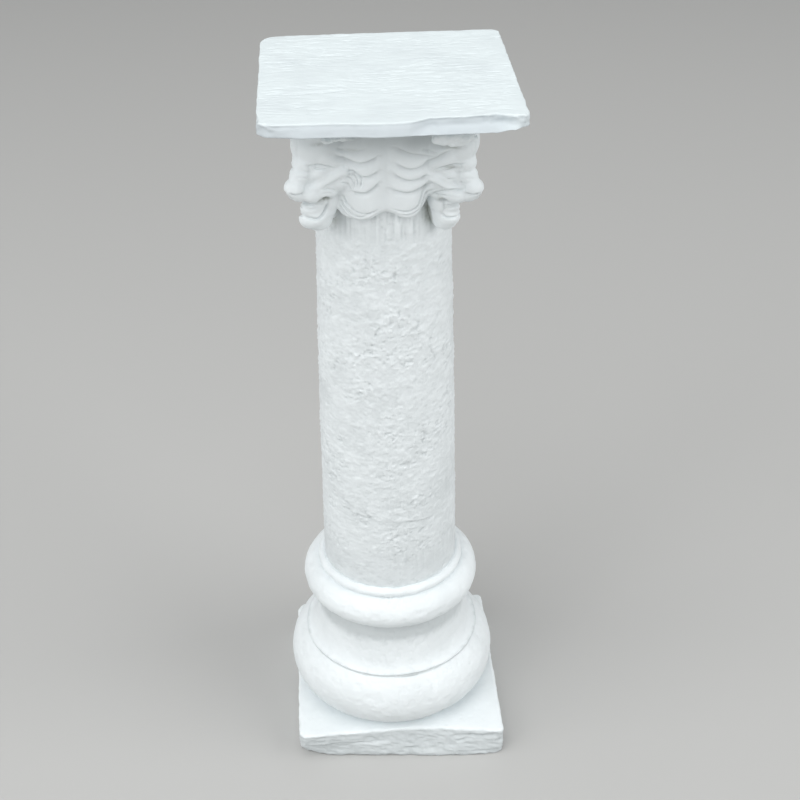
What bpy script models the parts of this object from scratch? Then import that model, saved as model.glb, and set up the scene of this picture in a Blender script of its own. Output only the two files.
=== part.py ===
# A cast and painted pedestal column: a square plinth, round base mouldings, a tapered
# shaft, a capital with four lion heads on its corners, and a thin slab bedded on top.
# Metres, +Z up. The origin is on the ground under the middle of the object's box.

from math import cos, exp, pi, radians, sin

import bmesh
import bpy
from mathutils import Matrix, Vector, noise

# Whole object. The three middles differ a little, as on the hand-made piece.
TOTAL_HEIGHT = 0.915
BEDDING_GAP = 0.0003
AXIS_X = -0.003
AXIS_Y = 0.006

# Plinth
PLINTH_WIDTH = 0.277
PLINTH_DEPTH = 0.282
PLINTH_HEIGHT = 0.0451
PLINTH_X = 0.0015
PLINTH_Y = 0.002
PLINTH_CORNER_RADIUS = 0.007
PLINTH_EDGE_WEAR = 0.0045
PLINTH_FRONT_LOSS = 0.010

# Top slab
SLAB_WIDTH = 0.276
SLAB_DEPTH = 0.285
SLAB_THICKNESS = 0.0135
SLAB_X = 0.004
SLAB_Y = -0.0035
SLAB_CORNER_RADIUS = 0.011
SLAB_BACK_LEFT_RADIUS = 0.030
SLAB_EDGE_WEAR = 0.003
SLAB_FRONT_BOW = 0.011
SLAB_FRONT_BREAK = 0.015

# Base mouldings
LOWER_TORUS_RADIUS = 0.1392
LOWER_TORUS_HEIGHT = 0.0856
LOWER_TORUS_BULGE = 0.040
LOWER_TORUS_FOOT_ANGLE = radians(-78)
LOWER_TORUS_TOP_ANGLE = radians(63)
SCOTIA_RIM_RADIUS = 0.1182
SCOTIA_RIM_HEIGHT = 0.004
SCOTIA_HEIGHT = 0.0738
SCOTIA_DEPTH = 0.0205
UPPER_TORUS_RADIUS = 0.1161
UPPER_TORUS_THICKNESS = 0.044
COLLAR_RADIUS = 0.0963
COLLAR_HEIGHT = 0.0127

# Shaft
SHAFT_BOTTOM_RADIUS = 0.088
SHAFT_TOP_RADIUS = 0.0772
SHAFT_TAPER_POWER = 1.5

# Capital
CAPITAL_HEIGHT = 0.112
BELL_BOTTOM_RADIUS = 0.083
BELL_TOP_RADIUS = 0.098
HEAD_HEIGHT = 0.120
MANE_STAND_OUT = 0.012

# Fineness of the facets
TURN_STEPS = 48
SIDE_STEPS = 10
CARVING_VOXEL = 0.0022
CARVING_FACES_KEPT = 0.043

CAPITAL_TOP = TOTAL_HEIGHT - SLAB_THICKNESS - BEDDING_GAP
CAPITAL_BOTTOM = CAPITAL_TOP - CAPITAL_HEIGHT
LOWER_TORUS_TOP = PLINTH_HEIGHT + LOWER_TORUS_HEIGHT
SCOTIA_TOP = LOWER_TORUS_TOP + SCOTIA_HEIGHT
UPPER_TORUS_TOP = SCOTIA_TOP + UPPER_TORUS_THICKNESS
SHAFT_BOTTOM = UPPER_TORUS_TOP + COLLAR_HEIGHT


def clear_scene():
    for old in list(bpy.data.objects):
        bpy.data.objects.remove(old, do_unlink=True)


def painted_plaster(name, colour, roughness):
    material = bpy.data.materials.new(name)
    material.use_nodes = True
    shader = material.node_tree.nodes["Principled BSDF"]
    shader.inputs["Base Color"].default_value = (*colour, 1.0)
    shader.inputs["Roughness"].default_value = roughness
    shader.inputs["Metallic"].default_value = 0.0
    material.diffuse_color = (*colour, 1.0)
    return material


def object_from(bm, name, material=None, is_round=True):
    bmesh.ops.recalc_face_normals(bm, faces=bm.faces[:])
    mesh = bpy.data.meshes.new(name)
    bm.to_mesh(mesh)
    bm.free()
    if is_round:
        mesh.shade_smooth()
        mesh.set_sharp_from_angle(angle=radians(35))
    if material:
        mesh.materials.append(material)
    made = bpy.data.objects.new(name, mesh)
    bpy.context.scene.collection.objects.link(made)
    return made


def combine(target, helper, operation):
    boolean = target.modifiers.new(operation.lower() + " " + helper.name, "BOOLEAN")
    boolean.operation = operation
    boolean.solver = "EXACT"
    boolean.object = helper
    helper.hide_render = True
    helper.display_type = "WIRE"


def bridge(bm, rings):
    """Joins each ring of points to the next with four-sided faces."""
    for lower, upper in zip(rings, rings[1:]):
        for i in range(len(lower)):
            j = (i + 1) % len(lower)
            bm.faces.new((lower[i], lower[j], upper[j], upper[i]))


def ring_about_axis(bm, radius, height, steps):
    ring = []
    for step in range(steps):
        angle = 2 * pi * step / steps
        x = AXIS_X + radius * cos(angle)
        ring.append(bm.verts.new((x, AXIS_Y + radius * sin(angle), height)))
    return ring


# A block with worn edges is a stack of outlines: a rounded rectangle whose sides waver,
# drawn in by the wear at each place and height.


def rounded_rectangle(width, depth, corner_radii):
    """Points from the front left corner round, counter-clockwise from above."""
    corners = ((-1, -1), (1, -1), (1, 1), (-1, 1))
    half = Vector((width / 2, depth / 2))
    arcs = []
    for index, corner in enumerate(corners):
        radius = corner_radii[index]
        centre = Vector((corner[0] * (half.x - radius), corner[1] * (half.y - radius)))
        start = pi + index * pi / 2
        arc_points = []
        for step in range(4):
            angle = start + step * pi / 6
            arc_points.append(centre + radius * Vector((cos(angle), sin(angle))))
        arcs.append(arc_points)
    points = []
    for index, arc_points in enumerate(arcs):
        points.extend(arc_points)
        side_start = arc_points[-1]
        side_end = arcs[(index + 1) % 4][0]
        for step in range(1, SIDE_STEPS):
            points.append(side_start.lerp(side_end, step / SIDE_STEPS))
    return points


def block(name, middle, bottom, height, outline, wear_at, material=None):
    """wear_at(point, share) is the draw-in of the side at a share of the height."""
    bm = bmesh.new()
    rings = []
    for share in (0.0, 0.15, 0.5, 0.8, 1.0):
        ring = []
        for point in outline:
            place = point - wear_at(point, share)
            x = middle[0] + place.x
            ring.append(bm.verts.new((x, middle[1] + place.y, bottom + share * height)))
        rings.append(ring)
    bridge(bm, rings)
    bm.faces.new(rings[0][::-1])
    bm.faces.new(rings[-1])
    return object_from(bm, name, material, is_round=False)


def hollowing(point, level, scale, depth):
    """A gentle unevenness of a side, from none to the full depth."""
    place = Vector((point.x * scale, point.y * scale, level * scale))
    return depth * (0.5 + 0.5 * noise.noise(place))


def bump(value, middle, spread):
    return exp(-(((value - middle) / spread) ** 2))


def rise(value, middle, spread):
    return 1 / (1 + exp(-(value - middle) / spread))


def plinth_wear(point, share):
    side = hollowing(point, share * PLINTH_HEIGHT, 38, 0.0022)
    worn = 0.35 + 0.65 * (0.5 + noise.noise(point.to_3d() * 27))
    edge = PLINTH_EDGE_WEAR * worn * max(0.0, (share - 0.8) / 0.2)
    foot = 0.0015 * max(0.0, (0.15 - share) / 0.15)
    in_front = bump(point.y, -PLINTH_DEPTH / 2, 0.03)
    to_left = 1 - rise(point.x, -PLINTH_WIDTH * 0.22, 0.015)
    lost = PLINTH_FRONT_LOSS * in_front * (0.35 + 0.65 * to_left * (1 - share) ** 0.5)
    to_middle = bump(point.x, PLINTH_WIDTH * 0.06, 0.05)
    lost += PLINTH_FRONT_LOSS * 0.6 * in_front * to_middle * share
    lost *= 1 - 0.8 * rise(point.x, PLINTH_WIDTH * 0.35, 0.01)
    return point.normalized() * (side + edge + foot) + Vector((0, -lost))


def slab_wear(point, share):
    side = hollowing(point, share * SLAB_THICKNESS, 55, 0.0014)
    worn = 0.4 + 0.6 * (0.5 + noise.noise(point.to_3d() * 33))
    top_edge = max(0.0, (share - 0.5) / 0.5)
    under_edge = 0.8 * max(0.0, (0.5 - share) / 0.5)
    in_front = bump(point.y, -SLAB_DEPTH / 2, 0.03)
    bowed = SLAB_FRONT_BOW * (1 - rise(point.x, -SLAB_WIDTH * 0.28, 0.016))
    bowed += SLAB_FRONT_BOW * 0.35 * rise(point.x, SLAB_WIDTH * 0.2, 0.02)
    broken = SLAB_FRONT_BREAK * rise(point.x, SLAB_WIDTH * 0.12, 0.008) * share**1.3
    inward = side + SLAB_EDGE_WEAR * worn * (top_edge + under_edge)
    return point.normalized() * inward + Vector((0, -in_front * (bowed + broken)))


def make_plinth():
    radii = [PLINTH_CORNER_RADIUS] * 4
    radii[3] = 2.2 * PLINTH_CORNER_RADIUS
    outline = rounded_rectangle(PLINTH_WIDTH, PLINTH_DEPTH, radii)
    middle = (PLINTH_X, PLINTH_Y)
    return block("plinth form", middle, 0.0, PLINTH_HEIGHT, outline, plinth_wear)


def make_slab(material):
    radii = [SLAB_CORNER_RADIUS] * 4
    radii[3] = SLAB_BACK_LEFT_RADIUS
    outline = rounded_rectangle(SLAB_WIDTH, SLAB_DEPTH, radii)
    bottom = TOTAL_HEIGHT - SLAB_THICKNESS
    middle = (SLAB_X, SLAB_Y)
    return block("top_slab", middle, bottom, SLAB_THICKNESS, outline, slab_wear, material)


# The turned part: each moulding gives a stretch of the profile, from the foot up.


def arc(centre_radius, centre_height, across, up, start, end, steps):
    """Points of an elliptical arc in the profile plane, both ends included."""
    points = []
    for step in range(steps + 1):
        angle = start + (end - start) * step / steps
        points.append((centre_radius + across * cos(angle), centre_height + up * sin(angle)))
    return points


def lower_torus_profile():
    up = LOWER_TORUS_HEIGHT / (sin(LOWER_TORUS_TOP_ANGLE) - sin(LOWER_TORUS_FOOT_ANGLE))
    centre_radius = LOWER_TORUS_RADIUS - LOWER_TORUS_BULGE
    centre = PLINTH_HEIGHT - up * sin(LOWER_TORUS_FOOT_ANGLE)
    angles = (LOWER_TORUS_FOOT_ANGLE, LOWER_TORUS_TOP_ANGLE)
    return arc(centre_radius, centre, LOWER_TORUS_BULGE, up, *angles, 9)


def scotia_profile():
    """A thin rim, then the hollow that rises from it to the upper torus."""
    rim_top = LOWER_TORUS_TOP + SCOTIA_RIM_HEIGHT
    lip = 0.3 * SCOTIA_RIM_HEIGHT
    rim = [
        (SCOTIA_RIM_RADIUS - 2 * lip, LOWER_TORUS_TOP + lip),
        (SCOTIA_RIM_RADIUS, LOWER_TORUS_TOP + 2 * lip),
        (SCOTIA_RIM_RADIUS, rim_top - lip / 2),
    ]
    edge = SCOTIA_RIM_RADIUS - lip
    return rim + arc(edge, SCOTIA_TOP, -SCOTIA_DEPTH, rim_top - SCOTIA_TOP, pi / 2, 0.0, 5)


def upper_torus_profile():
    half = UPPER_TORUS_THICKNESS / 2
    centre_radius = UPPER_TORUS_RADIUS - half
    return arc(centre_radius, SCOTIA_TOP + half, half, half, radians(-82), radians(84), 8)


def collar_profile():
    across = COLLAR_RADIUS - SHAFT_BOTTOM_RADIUS
    up = COLLAR_HEIGHT * 0.55
    return arc(SHAFT_BOTTOM_RADIUS, SHAFT_BOTTOM - up, across, up, radians(-55), radians(80), 3)


def shaft_profile():
    """The shaft narrows slowly at first, and ends inside the capital."""
    points = []
    steps = 5
    length = CAPITAL_BOTTOM + CAPITAL_HEIGHT / 3 - SHAFT_BOTTOM
    for step in range(steps + 1):
        share = step / steps
        shrink = (SHAFT_BOTTOM_RADIUS - SHAFT_TOP_RADIUS) * share**SHAFT_TAPER_POWER
        points.append((SHAFT_BOTTOM_RADIUS - shrink, SHAFT_BOTTOM + length * share))
    return points


def make_turned_column(material):
    foot_inside = (lower_torus_profile()[0][0], PLINTH_HEIGHT / 2)
    profile = [foot_inside]
    profile += lower_torus_profile() + scotia_profile() + upper_torus_profile()
    profile += collar_profile() + shaft_profile()
    bm = bmesh.new()
    rings = [ring_about_axis(bm, radius, height, TURN_STEPS) for radius, height in profile]
    bridge(bm, rings)
    bm.faces.new(rings[0][::-1])
    bm.faces.new(rings[-1])
    return object_from(bm, "column", material)


# The capital is carved from rounded forms. A form of the head is placed by how far it
# stands out from the shaft, how far aside and how far above the eyes, and all of its
# measures are shares of the head's height.


def add_ellipsoid(bm, place, centre, radii, pitch=0.0):
    shape = Matrix.Translation(centre) @ Matrix.Rotation(pitch, 4, "Y")
    shape = place @ shape @ Matrix.Diagonal((*radii, 1))
    bmesh.ops.create_icosphere(bm, subdivisions=3, radius=1.0, matrix=shape)


def add_strand(bm, points, radii):
    """A rounded strand: a ring about each point, closed by a tip at either end."""
    sides = 12
    rings = []
    last = len(points) - 1
    for index, point in enumerate(points):
        along = (points[min(index + 1, last)] - points[max(index - 1, 0)]).normalized()
        across = along.cross(Vector((0, 0, 1))).normalized()
        over = across.cross(along)
        ring = []
        for side in range(sides):
            angle = 2 * pi * side / sides
            offset = across * cos(angle) + over * sin(angle)
            ring.append(bm.verts.new(point + offset * radii[index]))
        rings.append(ring)
    bridge(bm, rings)
    for ring, end, beside in ((rings[0], 0, 1), (rings[-1], last, last - 1)):
        outward = (points[end] - points[beside]).normalized()
        tip = bm.verts.new(points[end] + outward * radii[end])
        for i in range(sides):
            bm.faces.new((ring[i], ring[(i + 1) % sides], tip))


def middle_forms():
    """(centre, radii, pitch) of the forms on the head's middle line."""
    return {
        "skull": ((0.075, 0.0, 0.19), (0.325, 0.29, 0.36), 0.0),
        "hair under the slab": ((0.17, 0.0, 0.56), (0.33, 0.31, 0.20), 0.0),
        "nose bridge": ((0.33, 0.0, 0.01), (0.25, 0.11, 0.085), 0.42),
        "nose tip": ((0.51, 0.0, -0.10), (0.062, 0.084, 0.060), 0.2),
        "lower jaw": ((0.17, 0.0, -0.50), (0.17, 0.13, 0.085), 0.1),
        "chin": ((0.26, 0.0, -0.52), (0.115, 0.125, 0.10), 0.0),
        "gum": ((0.23, 0.0, -0.405), (0.160, 0.10, 0.050), 0.08),
        "throat": ((0.05, 0.0, -0.36), (0.13, 0.17, 0.22), 0.0),
    }


def paired_forms():
    """The forms that the head has on either side of its middle line."""
    return {
        "lip": ((0.285, 0.075, -0.215), (0.160, 0.080, 0.085), -0.15),
        "cheek": ((0.10, 0.160, -0.15), (0.16, 0.12, 0.17), 0.0),
        "muzzle side": ((0.22, 0.085, -0.12), (0.20, 0.11, 0.09), 0.2),
        "eye": ((0.285, 0.140, 0.048), (0.052, 0.050, 0.038), 0.0),
    }


def paired_ridges():
    """(start, end, start radius, end radius) of the long ridges of the face."""
    return {
        "brow": ((0.39, 0.05, 0.130), (0.20, 0.235, 0.085), 0.044, 0.040),
        "snarl": ((0.44, 0.075, -0.135), (0.12, 0.28, 0.025), 0.044, 0.058),
        "jaw": ((0.11, 0.160, -0.25), (0.26, 0.095, -0.49), 0.060, 0.055),
    }


def add_head(bm, turn):
    size = HEAD_HEIGHT
    eyes = CAPITAL_TOP - 0.51 * size
    place = Matrix.Translation((AXIS_X, AXIS_Y, 0)) @ Matrix.Rotation(turn, 4, "Z")
    place = place @ Matrix.Translation((SHAFT_TOP_RADIUS, 0, eyes))
    for centre, radii, pitch in middle_forms().values():
        add_ellipsoid(bm, place, Vector(centre) * size, Vector(radii) * size, pitch)
    for side in (-1, 1):
        mirror = Vector((1, side, 1)) * size
        for centre, radii, pitch in paired_forms().values():
            add_ellipsoid(bm, place, Vector(centre) * mirror, Vector(radii) * size, pitch)
        for start, end, first, final in paired_ridges().values():
            points = []
            radii = []
            for step in range(5):
                share = step / 4
                points.append(place @ (Vector(start).lerp(Vector(end), share) * mirror))
                radii.append((first + (final - first) * share) * size)
            add_strand(bm, points, radii)


def bell_radius(height):
    share = (height - CAPITAL_BOTTOM) / CAPITAL_HEIGHT
    return BELL_BOTTOM_RADIUS + (BELL_TOP_RADIUS - BELL_BOTTOM_RADIUS) * max(share, 0.0) ** 1.4


def add_bell(bm):
    """The core that the manes meet on, between the heads. Its foot is drawn in."""
    steps = 8
    foot = CAPITAL_BOTTOM - 0.004
    rings = [ring_about_axis(bm, BELL_BOTTOM_RADIUS * 0.94, foot, TURN_STEPS)]
    for step in range(steps + 1):
        height = CAPITAL_BOTTOM + (CAPITAL_HEIGHT + 3 * CARVING_VOXEL) * step / steps
        rings.append(ring_about_axis(bm, bell_radius(height), height, TURN_STEPS))
    bridge(bm, rings)
    bm.faces.new(rings[0][::-1])
    bm.faces.new(rings[-1])


def mane_point(turn, out, height):
    return Vector((AXIS_X + out * cos(turn), AXIS_Y + out * sin(turn), height))


def add_mane(bm, face_turn, side):
    """Three crescent locks that sag between the cheek and the middle of a face, the
    big lobe below them, and the strand that runs from the cheek round the lobe."""
    levels = (0.60, 0.43, 0.29)
    thickness = (0.085, 0.075, 0.075)
    for level, thick in zip(levels, thickness):
        points = []
        radii = []
        for step in range(10):
            share = step / 9
            sag = 1 - (2 * share - 1.0) ** 2
            turn = radians(1.5 + 31 * share)
            height = CAPITAL_BOTTOM + CAPITAL_HEIGHT * (level + 0.13 * (1 - sag))
            radius = thick * CAPITAL_HEIGHT * (0.45 + 0.55 * sag)
            stand_out = MANE_STAND_OUT * (0.2 + 0.8 * max(sag, share))
            points.append(
                mane_point(face_turn + side * turn, bell_radius(height) + stand_out - radius, height)
            )
            radii.append(radius)
        add_strand(bm, points, radii)
    lobe = CAPITAL_HEIGHT * 0.125
    height = CAPITAL_BOTTOM + 0.09 * CAPITAL_HEIGHT
    out = BELL_BOTTOM_RADIUS + MANE_STAND_OUT - 0.8 * lobe
    turn = face_turn + side * radians(16.5)
    place = Matrix.Translation(mane_point(turn, out, height)) @ Matrix.Rotation(turn, 4, "Z")
    add_ellipsoid(bm, place, Vector(), Vector((0.8, 1.25, 1.15)) * lobe)
    points = []
    radii = []
    for step in range(9):
        share = step / 8
        turn = radians(33 - 31 * share)
        fall = 0.36 * (1 - share) ** 3 - 0.06 * sin(pi * share) ** 2
        height = CAPITAL_BOTTOM + CAPITAL_HEIGHT * (fall + 0.02)
        radius = CAPITAL_HEIGHT * (0.038 + 0.012 * sin(pi * share))
        out = bell_radius(height) + MANE_STAND_OUT * (0.75 - 0.45 * share) - radius
        points.append(mane_point(face_turn + side * turn, out, height))
        radii.append(radius)
    add_strand(bm, points, radii)


def add_bedding_lumps(bm):
    """Plaster that was squeezed out under the slab: (turn, out, below, radius)."""
    lumps = (
        (radians(-66), 0.126, 0.007, 0.013),
        (radians(-59), 0.134, 0.006, 0.011),
        (radians(-97), 0.103, 0.008, 0.009),
        (radians(-117), 0.113, 0.004, 0.008),
    )
    for turn, out, below, radius in lumps:
        place = Matrix.Translation(mane_point(turn, out, CAPITAL_TOP - below))
        place = place @ Matrix.Rotation(turn, 4, "Z")
        add_ellipsoid(bm, place, Vector(), Vector((0.9, 1.3, 0.6)) * radius)


def make_capital():
    bm = bmesh.new()
    add_bell(bm)
    for quarter in range(4):
        add_head(bm, pi / 4 + quarter * pi / 2)
        for side in (-1, 1):
            add_mane(bm, quarter * pi / 2, side)
    add_bedding_lumps(bm)
    capital = object_from(bm, "capital form")
    remesh = capital.modifiers.new("one skin", "REMESH")
    remesh.mode = "VOXEL"
    remesh.voxel_size = CARVING_VOXEL
    remesh.use_smooth_shade = True
    smooth = capital.modifiers.new("worn", "SMOOTH")
    smooth.factor = 0.5
    smooth.iterations = 3
    decimate = capital.modifiers.new("facets", "DECIMATE")
    decimate.ratio = CARVING_FACES_KEPT
    trim = bmesh.new()
    middle = CAPITAL_TOP + SLAB_WIDTH
    bmesh.ops.create_cube(trim, size=2 * SLAB_WIDTH, matrix=Matrix.Translation((0, 0, middle)))
    combine(capital, object_from(trim, "capital trim"), "DIFFERENCE")
    return capital


def main():
    clear_scene()
    casting = painted_plaster("painted casting", (0.76, 0.79, 0.80), 0.8)
    slab_paint = painted_plaster("painted slab", (0.86, 0.89, 0.89), 0.85)
    column = make_turned_column(casting)
    combine(column, make_plinth(), "UNION")
    combine(column, make_capital(), "UNION")
    make_slab(slab_paint)


main()
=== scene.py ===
from math import cos, degrees, pi, radians, sin

import bmesh
import bpy
import numpy as np
from mathutils import Matrix, Vector
from mathutils.bvhtree import BVHTree


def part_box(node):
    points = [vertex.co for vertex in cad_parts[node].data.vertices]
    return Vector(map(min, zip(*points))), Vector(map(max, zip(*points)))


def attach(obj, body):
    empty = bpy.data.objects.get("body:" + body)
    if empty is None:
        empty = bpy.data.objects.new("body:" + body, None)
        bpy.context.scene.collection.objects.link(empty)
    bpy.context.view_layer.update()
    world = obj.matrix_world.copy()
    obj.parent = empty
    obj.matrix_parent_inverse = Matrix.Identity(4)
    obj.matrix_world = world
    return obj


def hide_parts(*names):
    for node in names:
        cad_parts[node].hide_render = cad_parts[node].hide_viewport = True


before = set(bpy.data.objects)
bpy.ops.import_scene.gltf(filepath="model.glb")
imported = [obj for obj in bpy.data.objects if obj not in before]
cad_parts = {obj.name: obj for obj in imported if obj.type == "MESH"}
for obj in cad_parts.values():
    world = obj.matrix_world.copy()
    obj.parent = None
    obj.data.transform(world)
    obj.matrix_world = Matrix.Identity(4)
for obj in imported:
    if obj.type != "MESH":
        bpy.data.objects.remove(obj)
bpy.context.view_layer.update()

# Everything is in metres, with the ground at z = 0 and the front towards -Y.
slabLow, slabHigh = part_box("top_slab")
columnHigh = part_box("column")[1]

column = {
    "axis": (-0.003, 0.006),          # where the round parts stand, as seen from above
    "plinthTop": 0.0451,
    "lowerTorusTop": 0.1307,
    "scotiaTop": 0.2045,
    "upperTorusTop": 0.2485,
    "shaftBottom": 0.2612,
    "capitalBottom": columnHigh.z - 0.112,
    "capitalTop": columnHigh.z,
    "shaftBottomRadius": 0.088,
    "shaftTopRadius": 0.0772,
    "shaftTaperPower": 1.5,
}


# Small tools that every piece uses

tableSize = 8192                      # random values in a lattice, a power of two


def lattice(points, size, seed):
    # a smooth random field from -1 to 1 whose grains are about size across
    table = np.random.default_rng(seed).uniform(-1, 1, tableSize)
    place = points / size
    cell = np.floor(place).astype(np.int64)
    part = place - cell
    part = part * part * (3 - 2 * part)
    total = np.zeros(len(points))
    for dx in (0, 1):
        for dy in (0, 1):
            for dz in (0, 1):
                mixed = (cell[:, 0] + dx) * 73856093 ^ (cell[:, 1] + dy) * 19349663
                mixed ^= (cell[:, 2] + dz) * 83492791
                weight = np.abs(1 - dx - part[:, 0]) * np.abs(1 - dy - part[:, 1])
                total += table[mixed & (tableSize - 1)] * weight * np.abs(1 - dz - part[:, 2])
    return total


def layered(points, size, seed, layers=3):
    total = np.zeros(len(points))
    reach = 0.0
    for layer in range(layers):
        share = 0.5 ** layer
        total += share * lattice(points, size * share, seed + 17 * layer)
        reach += share
    return total / reach


def smoothStep(value, low, high):
    share = np.clip((value - low) / (high - low), 0, 1)
    return share * share * (3 - 2 * share)


def hump(value, middle, spread):
    return np.exp(-((value - middle) / spread) ** 2)


def aroundAxis(points):
    # degrees from +X and distance from the column's axis
    flat = points[:, :2] - column["axis"]
    return np.degrees(np.arctan2(flat[:, 1], flat[:, 0])), np.linalg.norm(flat, axis=1)


def linked(name, data):
    made = bpy.data.objects.new(name, data)
    bpy.context.scene.collection.objects.link(made)
    return made


def pieceFrom(name, points, faces, material):
    mesh = bpy.data.meshes.new(name)
    mesh.from_pydata(np.asarray(points).tolist(), [], faces)
    mesh.validate()
    mesh.materials.append(material)
    mesh.shade_smooth()
    made = linked(name, mesh)
    return made


def storeShade(mesh, values, name="worn"):
    # keeps a value from 0 to 1 at each point, which the paint reads; by default it is the painted
    # shade
    layer = mesh.attributes.new(name, "FLOAT", "POINT")
    layer.data.foreach_set("value", np.clip(values, 0, 1).astype(np.float32))


def pointsOf(mesh):
    flat = np.zeros(len(mesh.vertices) * 3, np.float32)
    mesh.vertices.foreach_get("co", flat)
    return flat.reshape(-1, 3).astype(float)


def normalsOf(mesh):
    flat = np.zeros(len(mesh.vertices) * 3, np.float32)
    mesh.vertex_normals.foreach_get("vector", flat)
    return flat.reshape(-1, 3).astype(float)


# Paint: one dictionary for each finish

castingPaint = {
    "colour": (0.84, 0.885, 0.90),
    "shade": (0.58, 0.62, 0.63),
    "roughness": 0.82,
    "grain": 0.0022,                  # size of the finest grit, metres
    "stretch": (1.0, 1.0, 1.0),
    "relief": 0.00035,
}

slabPaint = {
    "colour": (0.71, 0.775, 0.79),
    "shade": (0.50, 0.545, 0.575),
    "roughness": 0.85,
    "grain": 0.0024,
    "stretch": (0.10, 1.0, 1.0),      # brushed along X
    "relief": 0.0004,
}


mossAndShadeLook = {
    # moss, dark green-grey; its spots also paint the deep shade in the gaps behind the jaws, in an
    # eye, the mouth corners and under the slab
    "colour": (0.20, 0.215, 0.17),
    # degrees from +X, height, how wide, how tall, how strong, and how far out
    "spots": (
        (-53.7, 0.8434, 3.0, 0.0018, 0.55, 0.20), (-55.4, 0.8675, 3.5, 0.0022, 0.60, 0.20),
        (-126.0, 0.8760, 2.2, 0.0016, 0.40, 0.20), (-126.8, 0.8106, 2.0, 0.0034, 0.85, 0.12),
        (-56.5, 0.8060, 2.0, 0.0030, 0.75, 0.108), (-137.7, 0.7693, 5.0, 0.0080, 0.60, 0.080),
        (-128.0, 0.7860, 4.0, 0.0070, 0.65, 0.088), (-53.2, 0.7790, 5.5, 0.0130, 0.80, 0.082),
        (-48.0, 0.7690, 4.0, 0.0080, 0.50, 0.080), (-111.5, 0.8676, 4.0, 0.0016, 0.35, 0.20)
    ),
}


def mossAndShadeAt(points):
    turn, out = aroundAxis(points)
    total = np.zeros(len(points))
    for middle, height, wide, tall, strong, reach in mossAndShadeLook["spots"]:
        spot = strong * hump(turn, middle, wide) * hump(points[:, 2], height, tall)
        total += spot * (1 - smoothStep(out, reach, reach + 0.004))
    return total * (0.65 + 0.35 * smoothStep(layered(points, 0.004, 121), -0.3, 0.3))


def masonryPaint(name, look):
    material = bpy.data.materials.new(name)
    material.use_nodes = True
    nodes = material.node_tree.nodes
    links = material.node_tree.links
    shader = nodes["Principled BSDF"]
    shader.inputs["Specular IOR Level"].default_value = 0.35

    place = nodes.new("ShaderNodeTexCoord")
    stretch = nodes.new("ShaderNodeMapping")
    stretch.inputs["Scale"].default_value = look["stretch"]
    links.new(place.outputs["Object"], stretch.inputs["Vector"])

    def noiseAt(size, detail, vector):
        noise = nodes.new("ShaderNodeTexNoise")
        noise.inputs["Scale"].default_value = 1 / size
        noise.inputs["Detail"].default_value = detail
        noise.inputs["Roughness"].default_value = 0.6
        links.new(vector, noise.inputs["Vector"])
        return noise.outputs["Fac"]

    def mapped(value, low, high, toLow, toHigh):
        step = nodes.new("ShaderNodeMapRange")
        links.new(value, step.inputs["Value"])
        step.inputs["From Min"].default_value = low
        step.inputs["From Max"].default_value = high
        step.inputs["To Min"].default_value = toLow
        step.inputs["To Max"].default_value = toHigh
        return step.outputs["Result"]

    def kept(name):
        read = nodes.new("ShaderNodeAttribute")
        read.attribute_name = name
        return read.outputs["Fac"]

    def added(first, second, clamped=False):
        both = nodes.new("ShaderNodeMath")
        both.operation = "ADD"
        both.use_clamp = clamped
        links.new(first, both.inputs[0])
        links.new(second, both.inputs[1])
        return both.outputs[0]

    def mixBy(share, second):
        mix = nodes.new("ShaderNodeMix")
        mix.data_type = "RGBA"
        mix.inputs["B"].default_value = (*second, 1)
        links.new(share, mix.inputs["Factor"])
        return mix

    fine = noiseAt(look["grain"], 4.0, stretch.outputs["Vector"])
    coarse = noiseAt(look["grain"] * 6, 3.0, stretch.outputs["Vector"])
    cloudy = noiseAt(0.07, 3.0, place.outputs["Object"])

    # painted shade: the paint is a little greyer in hollows, grooves and other shaded places, as
    # stored; the cloudy greying stands for thin, uneven coats
    worn = mapped(kept("worn"), 0.0, 1.0, 0.0, 0.75)
    colour = mixBy(added(worn, mapped(cloudy, 0.45, 0.75, 0.0, 0.28), True), look["shade"])
    colour.inputs["A"].default_value = (*look["colour"], 1)
    # moss, with painted shade in the deepest gaps
    mossAndShadeMix = mixBy(kept("mossAndShade"), mossAndShadeLook["colour"])
    links.new(colour.outputs["Result"], mossAndShadeMix.inputs["A"])
    links.new(mossAndShadeMix.outputs["Result"], shader.inputs["Base Color"])
    spread = (look["roughness"] - 0.10, look["roughness"] + 0.08)
    links.new(mapped(coarse, 0.3, 0.7, *spread), shader.inputs["Roughness"])

    # brush marks and grit too fine for the mesh
    height = added(mapped(fine, 0.0, 1.0, 0.0, 0.45), mapped(coarse, 0.0, 1.0, 0.0, 1.0))
    bump = nodes.new("ShaderNodeBump")
    bump.inputs["Strength"].default_value = 0.6
    bump.inputs["Distance"].default_value = look["relief"]
    links.new(height, bump.inputs["Height"])
    links.new(bump.outputs["Normal"], shader.inputs["Normal"])
    return material


castingMaterial = masonryPaint("white masonry paint on the casting", castingPaint)
slabMaterial = masonryPaint("brushed masonry paint on the slab", slabPaint)
print("paints mixed")


# Blocks: square grids whose edges are moved to a hand-made outline

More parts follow.
